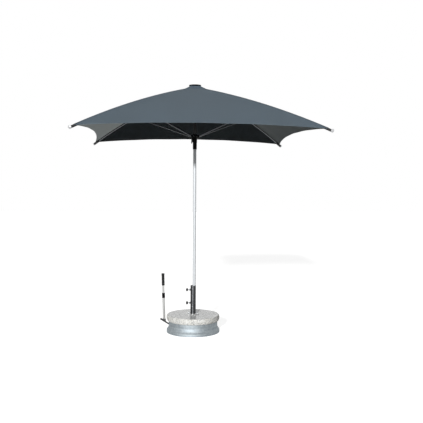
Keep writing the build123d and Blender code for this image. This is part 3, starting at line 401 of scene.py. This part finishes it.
# Pole: a pale satin that takes the canopy's shade softly; from the runner up it is tinted black, painted
# shade.
POLE_FINISH = drawn_metal(
    "anodised_aluminium_satin",
    "#b9bcbf",
    rough=0.34,
    line_mm=0.5,
    streak_mm=60.0,
    depth=0.08,
    metallic=0.15,
    painted_shade_above=(POLE_SHADE_FROM, "#08080a"),
)

# Ribs and struts: a gloss that mirrors the dark cloth, so that each shows as a thin light line. The struts'
# tint is darker than the ribs': painted shade.
RIB_FINISH = drawn_metal(
    "extruded_aluminium", "#808285", rough=0.14, line_mm=0.5, streak_mm=60.0, depth=0.03
)
STRUT_FINISH = drawn_metal(
    "drawn_aluminium_dark", "#4c4e51", rough=0.14, line_mm=0.5, streak_mm=60.0, depth=0.03
)

# Knobs at the corners: bright points with fine turning marks.
TIP_FINISH = drawn_metal("turned_aluminium", "#dcdddf", rough=0.22, line_mm=0.8, streak_mm=0.8, depth=0.05)

# Pins, screws and bolts: small grey glints.
PIN_FINISH = drawn_metal("zinc_plated_steel", "#c3c6c9", rough=0.28, line_mm=0.6, streak_mm=6.0, depth=0.06)

# Mast holder: turned stainless whose tube is tinted dark, a painted dark reflection, with one bright line
# down it from the key light; the flange below keeps the paler steel tint.
HOLDER_FINISH = drawn_metal(
    "stainless_turned",
    "#c4c4c3",
    rough=0.4,
    line_mm=40.0,
    streak_mm=0.4,
    depth=0.03,
    painted_shade_above=(FLANGE_TOP, "#515254"),
    spread=1.0,
)

# Handle tubes: a polish that mirrors floor and backdrop.
HANDLE_FINISH = drawn_metal(
    "stainless_polished", "#d2d2d1", rough=0.12, line_mm=0.4, streak_mm=40.0, depth=0.03
)

# Skirt and chassis: a soft grey with faint bands.
SKIRT_FINISH = zinc_sheet("galvanised_sheet")

# Hubs, cap, runner, clamps and knobs: near black, with hardly any shine.
PLASTIC_FINISH = moulded(
    "polyamide_black", "#040405", "#0b0b0c", rough=0.4, grain_mm=0.8, depth=0.1, gloss=0.06
)

# Lever and axles: an even charcoal coat.
STEEL_FINISH = moulded(
    "powder_coated_steel_charcoal", "#17181a", "#2a2b2e", rough=0.5, grain_mm=1.2, depth=0.2
)

# Grip and clamp pads: black with a faint bloom.
RUBBER_FINISH = moulded(
    "rubber_black", "#0d0e0d", "#1d1e1d", rough=0.5, grain_mm=1.0, depth=0.25, gloss=0.25
)

# Wheels: a scuffed grey black.
WHEEL_FINISH = moulded(
    "polypropylene_grey_black", "#141415", "#262628", rough=0.55, grain_mm=1.0, depth=0.2
)

SLOT_FINISHES = {
    "pole_aluminium": POLE_FINISH,
    "rib_aluminium": RIB_FINISH,
    "tip_aluminium": TIP_FINISH,
    "black_plastic": PLASTIC_FINISH,
    "pin_steel": PIN_FINISH,
    "galvanised_steel": SKIRT_FINISH,
    "granite": POLISHED_GRANITE,
    "polished_stainless": HANDLE_FINISH,
    "dark_steel": STEEL_FINISH,
    "grip_rubber": RUBBER_FINISH,
    "wheel_plastic": WHEEL_FINISH,
}
# The holder's dark tube and the darker struts are painted shade over their slots' own finishes.
NODE_FINISHES = {"mast_holder": HOLDER_FINISH} | {f"strut_{number}": STRUT_FINISH for number in range(1, 5)}
for part in frame["record"]["subparts"]:
    material = NODE_FINISHES.get(part["node"], SLOT_FINISHES.get(part["material_slot"]))
    if material:
        for slot in frame["nodes"][part["node"]].material_slots:
            slot.material = material


# Shapes.
def ridge(radius):
    """Height of the cloth's top over a rib: the circle through the ridge's ends with the bow as its rise."""
    run = RIDGE_END - RIDGE_START
    chord = np.hypot(run, RIDGE_FALL)
    bend = (chord**2 / 4 + RIDGE_BOW**2) / (2 * RIDGE_BOW)
    middle_r = (RIDGE_START + RIDGE_END) / 2 + (RIDGE_BOW - bend) * RIDGE_FALL / chord
    middle_z = RIDGE_TOP - RIDGE_FALL / 2 + (RIDGE_BOW - bend) * run / chord
    return middle_z + np.sqrt(bend**2 - (radius - middle_r) ** 2)


def tent(out):
    """Height of a panel's top at a distance out from the pole: the ridge's arc, and near the pole a lift
    that grows a little faster than evenly towards the neck, where it is cut off flat."""
    lift = NECK_LIFT * np.clip((NECK_FOOT - out) / (NECK_FOOT - NECK_HALF), 0, 1) ** NECK_POWER
    return np.minimum(ridge(out * ROOT2) + lift, NECK_TOP)


def quads(rows, columns, closed=False):
    """Corner numbers of a grid's faces, row by row. A closed grid joins its last column to its first."""
    i = np.arange(rows - 1)[:, None]
    j = np.arange(columns if closed else columns - 1)[None, :]
    k = (j + 1) % columns
    i, j, k = np.broadcast_arrays(i, j, k)
    corners = (i * columns + j, i * columns + k, (i + 1) * columns + k, (i + 1) * columns + j)
    return np.stack(corners, -1).reshape(-1, 4)


def mesh_piece(name, points, faces, maps, material, smooth=True):
    """An object at the origin from arrays of points, faces and UV maps given point by point."""
    mesh = bpy.data.meshes.new(name)
    mesh.from_pydata(points.tolist(), [], faces.tolist())
    corners = np.empty(len(mesh.loops), np.int32)
    mesh.loops.foreach_get("vertex_index", corners)
    for label, values in maps.items():
        layer = mesh.uv_layers.new(name=label)
        layer.uv.foreach_set("vector", values[corners].astype(np.float32).ravel())
    mesh.materials.append(material)
    mesh.polygons.foreach_set("use_smooth", np.full(len(faces), smooth))
    mesh.update()
    made = bpy.data.objects.new(name, mesh)
    bpy.context.collection.objects.link(made)
    return made


def shell(name, top, under, maps, material, back=None):
    """A thin closed sheet: a grid of top points, the same grid underneath, and a rim round the edge
    between them. The rim has points of its own, so the faces shade as cloth and the edge stays crisp. The
    underside may have a finish of its own."""
    rows, columns = top.shape[:2]
    numbers = np.arange(rows * columns).reshape(rows, columns)
    rim = np.concatenate((numbers[0, :-1], numbers[:-1, -1], numbers[-1, :0:-1], numbers[:0:-1, 0]))
    flat_top, flat_under = top.reshape(-1, 3), under.reshape(-1, 3)
    points = np.concatenate((flat_top, flat_under, flat_top[rim], flat_under[rim]))
    face = quads(rows, columns)
    size, edge = rows * columns, len(rim)
    here = np.arange(edge)
    after = (here + 1) % edge
    band = np.stack((after, here, here + edge, after + edge), -1) + 2 * size
    faces = np.concatenate((face, face[:, ::-1] + size, band))
    a, b, c = (flat_top[face[:, corner]] for corner in (0, 1, 2))
    if np.cross(b - a, c - a)[:, 2].sum() < 0:
        faces = faces[:, ::-1]
    spread = {}
    for label, values in maps.items():
        flat = values.reshape(-1, 2)
        spread[label] = np.concatenate((flat, flat, flat[rim], flat[rim]))
    made = mesh_piece(name, points, faces, spread, material)
    if back:
        made.data.materials.append(back)
        sides = np.concatenate((np.zeros(len(face)), np.ones(len(face)), np.zeros(edge)))
        made.data.polygons.foreach_set("material_index", sides.astype(np.int32))
    return made


def turned(points, quarter):
    """Points turned about the pole by quarter turns."""
    c, s = ((1, 0), (0, 1), (-1, 0), (0, -1))[quarter % 4]
    return points @ np.array([[c, s, 0], [-s, c, 0], [0, 0, 1]], float)


def weld(piece):
    """Joins points that coincide, so that a turned shape closes at its poles."""
    work = bmesh.new()
    work.from_mesh(piece.data)
    bmesh.ops.remove_doubles(work, verts=work.verts, dist=1e-6)
    work.to_mesh(piece.data)
    work.free()


# Canopy: strips along the ridges, half panels between them and the patch at the crown.
def strip_width(out):
    """Width from the ridge of the strip that keeps its shape when its rib folds: it reaches the plane
    midway to the next folded rib, and from where the middle of the folded hem hangs it narrows evenly to
    the corner."""
    c, s = np.cos(FOLD), np.sin(FOLD)
    drop = tent(out) - STRIP_SAG - PIVOT_Z
    meet = (PIVOT_R * (1 - c) + ROOT2 * out * c + drop * s) / (1 + c)
    below = np.clip((out - NOTCH_FROM) / (HALF - NOTCH_FROM), 0, 1)
    return np.minimum(meet, STRIP_REACH * out / ROOT2) * (1 - below) + STRIP_TIP * below


def half_panel(strip):
    """Half of one panel, facing +X: the strip beside the ridge over a rib at 45 degrees, or the rest as
    far as the panel's middle line. Rows run from the neck to the hem; columns keep a set distance from
    the ridge across the seam, then spread in proportion. The hem is where the distance out equals the
    half side less the bow times one minus the squared share of the way across, trimmed square to the rib
    at the corner. The top follows the ridge's arc. Between the ribs, most of all midway, it sags by half
    a sine wave down the panel, droops with the fifth power of the way to the hem and ripples with the
    fourth. Hem and seam are two cloths, pressed flat."""
    if strip:
        spread = np.linspace(0, 1, STRIP_COLUMNS + 1)[1:]
        inner = np.concatenate((SEAM_SHARES * SEAM_BAND, np.full(len(spread), SEAM_BAND)))[None, :]
        way = np.concatenate((np.zeros(len(SEAM_SHARES)), spread))[None, :]
    else:
        way = np.linspace(0, 1, PANEL_COLUMNS)[None, :]

    def from_ridge(out):
        """Distance of each column from the ridge at a distance out from the pole."""
        width = strip_width(out)
        if strip:
            return inner + way * (width - inner)
        return width + way * (out / ROOT2 - width)

    # Where a column meets the hem depends on its distance from the ridge there, so that is settled first.
    hem = np.full_like(way, HALF)
    trim = np.full_like(way, HALF)
    for _ in range(SETTLE_ROUNDS):
        hem = HALF - HEM_BOW * (1 - ((hem - ROOT2 * from_ridge(hem)) / HALF) ** 2)
        trim = (ROOT2 * (HALF * ROOT2 - CORNER_CUT) + ROOT2 * from_ridge(trim)) / 2
    hem = np.minimum(hem, trim)
    out = PANEL_FROM + ROWS * (hem - PANEL_FROM)
    apart = from_ridge(out)
    across = out - ROOT2 * apart
    part = across / out
    slack = 1 - part**2
    sag = SAG * np.sin(np.pi * ROWS**0.9) + HEM_DROOP * ROWS**5
    ripple = RIPPLE * np.cos(RIPPLE_TURN * part) * ROWS**4
    height = tent(out) + slack * (ripple - sag)
    steps = np.hypot(np.diff(out, axis=0), np.diff(height, axis=0))
    length = np.concatenate((np.zeros((1, out.shape[1])), np.cumsum(steps, axis=0)))
    from_hem = length[-1:] - length
    doubled = np.maximum(
        np.clip((HEM_BAND - from_hem) / HEM_EASE, 0, 1),
        np.clip((SEAM_BAND - SEAM_EASE / 2 - apart) / SEAM_EASE, 0, 1),
    )
    top = np.stack((out, across, height), -1)
    under = top - np.stack((0 * out, 0 * out, CLOTH * (1 + PRESSED * doubled)), -1)
    maps = {"cloth": np.stack((across, length), -1), "edges": np.stack((apart, from_hem), -1)}
    return top, under, maps


def both_sides(grid, swap):
    """A half strip's grid with its mirror image across the ridge in front of it."""
    return np.concatenate((grid[:, :0:-1][..., swap], grid), axis=1)


def gathering():
    """How the cloth beside the rib at 45 degrees gathers when it folds. It is drawn along the level line
    towards the panel's middle, made square to the ridge's chord and then tipped so that it lies inside
    the folded strips. The point that it is drawn to lies beside the ridge, before the tipping."""
    run = (RIDGE_END - RIDGE_START) / ROOT2
    chord = np.array([run, run, -RIDGE_FALL])
    chord /= np.linalg.norm(chord)
    line = np.array([0.0, -1.0, 0.0]) + chord[1] * chord
    line /= np.linalg.norm(line)
    outward = np.cross(line, chord)
    outward *= np.sign(outward[2])
    over_rib = np.array([GATHER_FROM, GATHER_FROM, float(ridge(GATHER_FROM * ROOT2))])
    return line * np.cos(GATHER_TIP) + outward * np.sin(GATHER_TIP), over_rib + GATHER_AT * line


def as_canopy(piece, rib):
    """Makes a piece of cloth stand for the canopy on a rib."""
    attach(piece, f"rib_{rib}")
    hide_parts("canopy")


strip_top, strip_under, strip_maps = half_panel(strip=True)
strip_top, strip_under = (both_sides(grid, [1, 0, 2]) for grid in (strip_top, strip_under))
strip_maps = {label: both_sides(values, [0, 1]) for label, values in strip_maps.items()}
for quarter in range(4):
    cloth = shell(
        f"canopy_ridge_{quarter + 1}",
        turned(strip_top, quarter),
        turned(strip_under, quarter),
        strip_maps,
        CLOTH_FINISH,
        BACK_SHADE_FINISH,
    )
    as_canopy(cloth, quarter + 1)

panel_top, panel_under, panel_maps = half_panel(strip=False)
gather_line, gather_point = gathering()
for quarter, side in enumerate(SIDES):
    for hand, rib in ((1, quarter + 1), (-1, (quarter - 1) % 4 + 1)):
        mirror = np.array([1.0, hand, 1.0])
        cloth = shell(
            f"canopy_{side}_{rib}",
            turned(panel_top * mirror, quarter),
            turned(panel_under * mirror, quarter),
            panel_maps,
            CLOTH_FINISH,
            BACK_SHADE_FINISH,
        )
        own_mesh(cloth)
        as_canopy(cloth, rib)


def crown_patch():
    """The cloth under the cap: rings of a rounded square from the stem hole out, at the tent's height for
    the greater of the two distances out, flat inside the neck."""
    turn = np.linspace(0, 2 * np.pi, PATCH_COLUMNS + 1)[None, :]
    share = np.linspace(0, 1, PATCH_RINGS)[:, None]
    square = 1 / np.maximum(np.abs(np.cos(turn)), np.abs(np.sin(turn)))
    edge = PATCH_HALF * (1 + PATCH_SQUARE * (square - 1))
    radius = PATCH_HOLE + share * (edge - PATCH_HOLE)
    x, y = radius * np.cos(turn), radius * np.sin(turn)
    height = np.minimum(tent(np.maximum(np.abs(x), np.abs(y))) + PATCH_LIFT, NECK_TOP)
    top = np.stack((x, y, height), -1)
    under = top - np.array([0, 0, CLOTH])
    # The patch has no ridge seam, so its distance from a ridge is set past every row of stitches.
    from_ridge = np.full_like(x, HALF)
    from_edges = np.stack((from_ridge, radius[-1:] - radius), -1)
    return top, under, {"cloth": np.stack((x, y), -1), "edges": from_edges}


patch_top, patch_under, patch_maps = crown_patch()
patch = shell("canopy_crown_patch", patch_top, patch_under, patch_maps, CLOTH_FINISH, BACK_SHADE_FINISH)
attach(patch, "mast")
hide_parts("canopy")


# Sleeves along the ribs and pockets at their ends.
def rib_sleeve():
    """Sleeve along the rib at 45 degrees: across, it falls on both sides as the roof does and then hangs
    straight down beside the rib, and along, it follows the ridge. It is cut away at the strut's clamp."""
    radius = np.linspace(SLEEVE_FROM, SLEEVE_TO, SLEEVE_ROWS)[:, None]
    flat = np.linspace(-SLEEVE_HALF, SLEEVE_HALF, SLEEVE_COLUMNS)
    wall = np.full(len(HANG_SHARES), SLEEVE_HALF)
    side = np.concatenate((-wall, flat, wall))[None, :]
    hang = np.concatenate((HANG_SHARES, 0 * flat, HANG_SHARES[::-1]))[None, :]
    clear = np.clip((np.abs(radius - CLAMP_R) - CLAMP_HALF) / CLAMP_EASE, 0, 1)
    drop = CLOTH * (1 + PRESSED) + SLEEVE_GAP + hang * SLEEVE_HANG * clear
    walls = []
    for inset in (0.0, SLEEVE_CLOTH):
        near = side - np.sign(side) * inset * (hang > 0)
        x, y = (radius - near) / ROOT2, (radius + near) / ROOT2
        height = tent(np.maximum(x, y)) - drop - inset * (hang == 0)
        walls.append(np.stack((x, y, height), -1))
    steps = np.diff(walls[0], axis=1)[0, :, 1:]
    girth = np.concatenate(([0.0], np.cumsum(np.hypot(*steps.T))))[None, :]
    maps = {"cloth": np.stack((girth + 0 * radius, radius + 0 * girth), -1)}
    return walls[0], walls[1], maps


def corner_pocket():
    """Pocket sewn round the end of the rib at 45 degrees: an ellipse carried along the ridge, a little
    wider halfway, with an inner wall one webbing thickness inside."""
    along = np.linspace(POCKET_FROM, POCKET_TO, POCKET_ROWS)[:, None]
    turn = np.linspace(0, 2 * np.pi, POCKET_COLUMNS + 1)[None, :-1]
    swell = 1 + POCKET_SWELL * np.sin(np.pi * (along - POCKET_FROM) / (POCKET_TO - POCKET_FROM))
    walls = []
    for inset in (0.0, POCKET_CLOTH):
        side = (POCKET_HALF - inset) * swell * np.cos(turn)
        height = ridge(along) + (POCKET_TALL - inset) * np.sin(turn) - POCKET_DROP
        walls.append(np.stack(((along - side) / ROOT2, (along + side) / ROOT2, height), -1))
    outer, inner = (wall.reshape(-1, 3) for wall in walls)
    face = quads(POCKET_ROWS, POCKET_COLUMNS, closed=True)
    size = POCKET_ROWS * POCKET_COLUMNS
    here = np.arange(POCKET_COLUMNS)
    after = (here + 1) % POCKET_COLUMNS
    last = size - POCKET_COLUMNS
    mouth = np.stack((after, here, here + size, after + size), -1)
    end = np.stack((here + last, after + last, after + last + size, here + last + size), -1)
    faces = np.concatenate((face, face[:, ::-1] + size, mouth, end))
    uv = np.stack((POCKET_MAP_R * turn + 0 * along, along + 0 * turn), -1).reshape(-1, 2)
    return np.concatenate((outer, inner)), faces, np.concatenate((uv, uv))


sleeve_top, sleeve_under, sleeve_maps = rib_sleeve()
pocket_points, pocket_faces, pocket_uv = corner_pocket()
for quarter in range(4):
    rib_body = f"rib_{quarter + 1}"
    sleeve = shell(
        f"rib_sleeve_{quarter + 1}",
        turned(sleeve_top, quarter),
        turned(sleeve_under, quarter),
        sleeve_maps,
        WEB_FINISH,
    )
    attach(sleeve, rib_body)
    pocket = mesh_piece(
        f"corner_pocket_{quarter + 1}",
        turned(pocket_points, quarter),
        pocket_faces,
        {"cloth": pocket_uv},
        WEB_FINISH,
    )
    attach(pocket, rib_body)


# Slab.
def hewn_slab():
    """Round granite slab: a profile of radius and height carried round the base's axis. The profile is a
    flat polished top, a quarter ellipse out to the widest line, a deeper quarter ellipse back in to the
    foot, and a flat underside. The rim is broken into shallow scallops: it stands further out with the
    squared distance to the nearest of a fixed set of strikes."""
    turn = np.linspace(0, 2 * np.pi, SLAB_COLUMNS + 1)[None, :-1]
    bend = np.linspace(0, np.pi / 2, RIM_ROWS + 1)
    above_r = SLAB_TOP_R + (SLAB_R - SLAB_TOP_R) * np.sin(bend)
    above_z = SLAB_WIDEST + (SLAB_TOP - SLAB_WIDEST) * np.cos(bend)
    below_r = SLAB_FOOT_R + (SLAB_R - SLAB_FOOT_R) * np.cos(bend[1:])
    below_z = SLAB_WIDEST + (SLAB_FOOT - SLAB_WIDEST) * np.sin(bend[1:])
    top_z = np.full(len(TOP_RINGS), SLAB_TOP)
    foot_z = np.full(len(FOOT_RINGS), SLAB_FOOT)
    radius = np.concatenate((TOP_RINGS, above_r, below_r, FOOT_RINGS))[:, None]
    height = np.concatenate((top_z, above_z, below_z, foot_z))[:, None]
    strikes = np.random.default_rng(STRIKE_SEED)
    strike_turn = strikes.uniform(0, 2 * np.pi, STRIKES)
    strike_height = strikes.uniform(STRIKE_LOW, STRIKE_HIGH, STRIKES)
    gap = (turn[..., None] - strike_turn + np.pi) % (2 * np.pi) - np.pi
    reach = np.hypot(gap * SLAB_R, height[..., None] - strike_height).min(-1)
    rim = (radius > SLAB_TOP_R + CLEAR_OF_TOP) & (height > SLAB_FOOT + CLEAR_OF_FOOT)
    broken = radius + rim * np.clip(BOWL * reach**2 - BOWL_DEPTH, BITE_IN, BITE_OUT)
    points = np.stack((BASE_X + broken * np.cos(turn), broken * np.sin(turn), height + 0 * turn), -1)
    return points.reshape(-1, 3), quads(len(radius), SLAB_COLUMNS, closed=True)[:, ::-1]


slab_points, slab_faces = hewn_slab()
slab = mesh_piece("granite_slab_hewn", slab_points, slab_faces, {}, POLISHED_GRANITE)
slab.data.materials.append(HEWN_GRANITE)
slab_row = np.arange(len(slab_faces)) // SLAB_COLUMNS
hewn = (slab_row >= len(TOP_RINGS)) & (slab_row < len(TOP_RINGS) + 2 * RIM_ROWS)
slab.data.polygons.foreach_set("material_index", hewn.astype(np.int32))
slab.data.polygons.foreach_set("use_smooth", ~hewn)
weld(slab)
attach(slab, "base")
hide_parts("granite_slab")

# Floor: white paper that glows to the camera, so that it fades into the backdrop, and less in mirrors.
floor_points = FLOOR_HALF * np.array([(-1, -1, 0), (1, -1, 0), (1, 1, 0), (-1, 1, 0)], float)
floor_finish, floor_tree, floor_shader = finish("studio_paper_white", Roughness=0.9)
floor_shader.inputs["Base Color"].default_value = colour("#bcbcbb")
floor_shader.inputs["Emission Color"].default_value = (1.0, 1.0, 1.0, 1.0)
ray = put(floor_tree, "LightPath").outputs
in_mirrors = put(
    floor_tree, "Math", {0: ray["Is Glossy Ray"], 1: FLOOR_MIRRORED}, operation="MULTIPLY"
).outputs[0]
glow = put(
    floor_tree, "MapRange", {"Value": ray["Is Camera Ray"], "To Min": in_mirrors, "To Max": FLOOR_GLOW}
).outputs[0]
floor_tree.links.new(glow, floor_shader.inputs["Emission Strength"])
floor = mesh_piece("studio_floor", floor_points, np.array([[0, 1, 2, 3]]), {}, floor_finish, smooth=False)

# Light: a white backdrop that gives only a little fill, and one low soft key from the left of the camera.
world = bpy.data.worlds.new("studio_white")
world.use_nodes = True
bpy.context.scene.world = world
sky = world.node_tree.nodes["Background"]
ray = put(world.node_tree, "LightPath").outputs
unseen = put(
    world.node_tree, "MapRange", {"Value": ray["Is Glossy Ray"], "To Min": FILL, "To Max": MIRRORED}
).outputs[0]
strength = put(
    world.node_tree, "MapRange", {"Value": ray["Is Camera Ray"], "To Min": unseen, "To Max": 1.0}
).outputs[0]
world.node_tree.links.new(strength, sky.inputs["Strength"])
sky.inputs["Color"].default_value = (1.0, 1.0, 1.0, 1.0)
bpy.context.scene.view_settings.view_transform = "Standard"

key_lamp = bpy.data.lights.new("key", "SUN")
key_lamp.energy = KEY
key_lamp.angle = KEY_SPREAD
key = bpy.data.objects.new("key", key_lamp)
key.matrix_world = Matrix.Rotation(-KEY_TURN, 4, "Z") @ Matrix.Rotation(np.pi / 2 - KEY_RISE, 4, "X")
bpy.context.collection.objects.link(key)

# Camera: looks along its yaw and pitch, and is rolled about that line.
ahead = np.array([np.sin(YAW) * np.cos(PITCH), np.cos(YAW) * np.cos(PITCH), np.sin(PITCH)])
level = np.array([np.cos(YAW), -np.sin(YAW), 0.0])
down = np.cross(ahead, level)
right = level * np.cos(ROLL) + down * np.sin(ROLL)
up = level * np.sin(ROLL) - down * np.cos(ROLL)
lens = bpy.data.cameras.new("photo_view")
lens.sensor_width = SENSOR
lens.lens = SENSOR * FOCAL_PIXELS / FRAME_PIXELS
camera = bpy.data.objects.new("photo_view", lens)
facing = Matrix(np.stack((right, up, -ahead), -1).tolist()).to_4x4()
camera.matrix_world = Matrix.Translation(CAMERA_PLACE) @ facing
bpy.context.collection.objects.link(camera)
bpy.context.scene.camera = camera
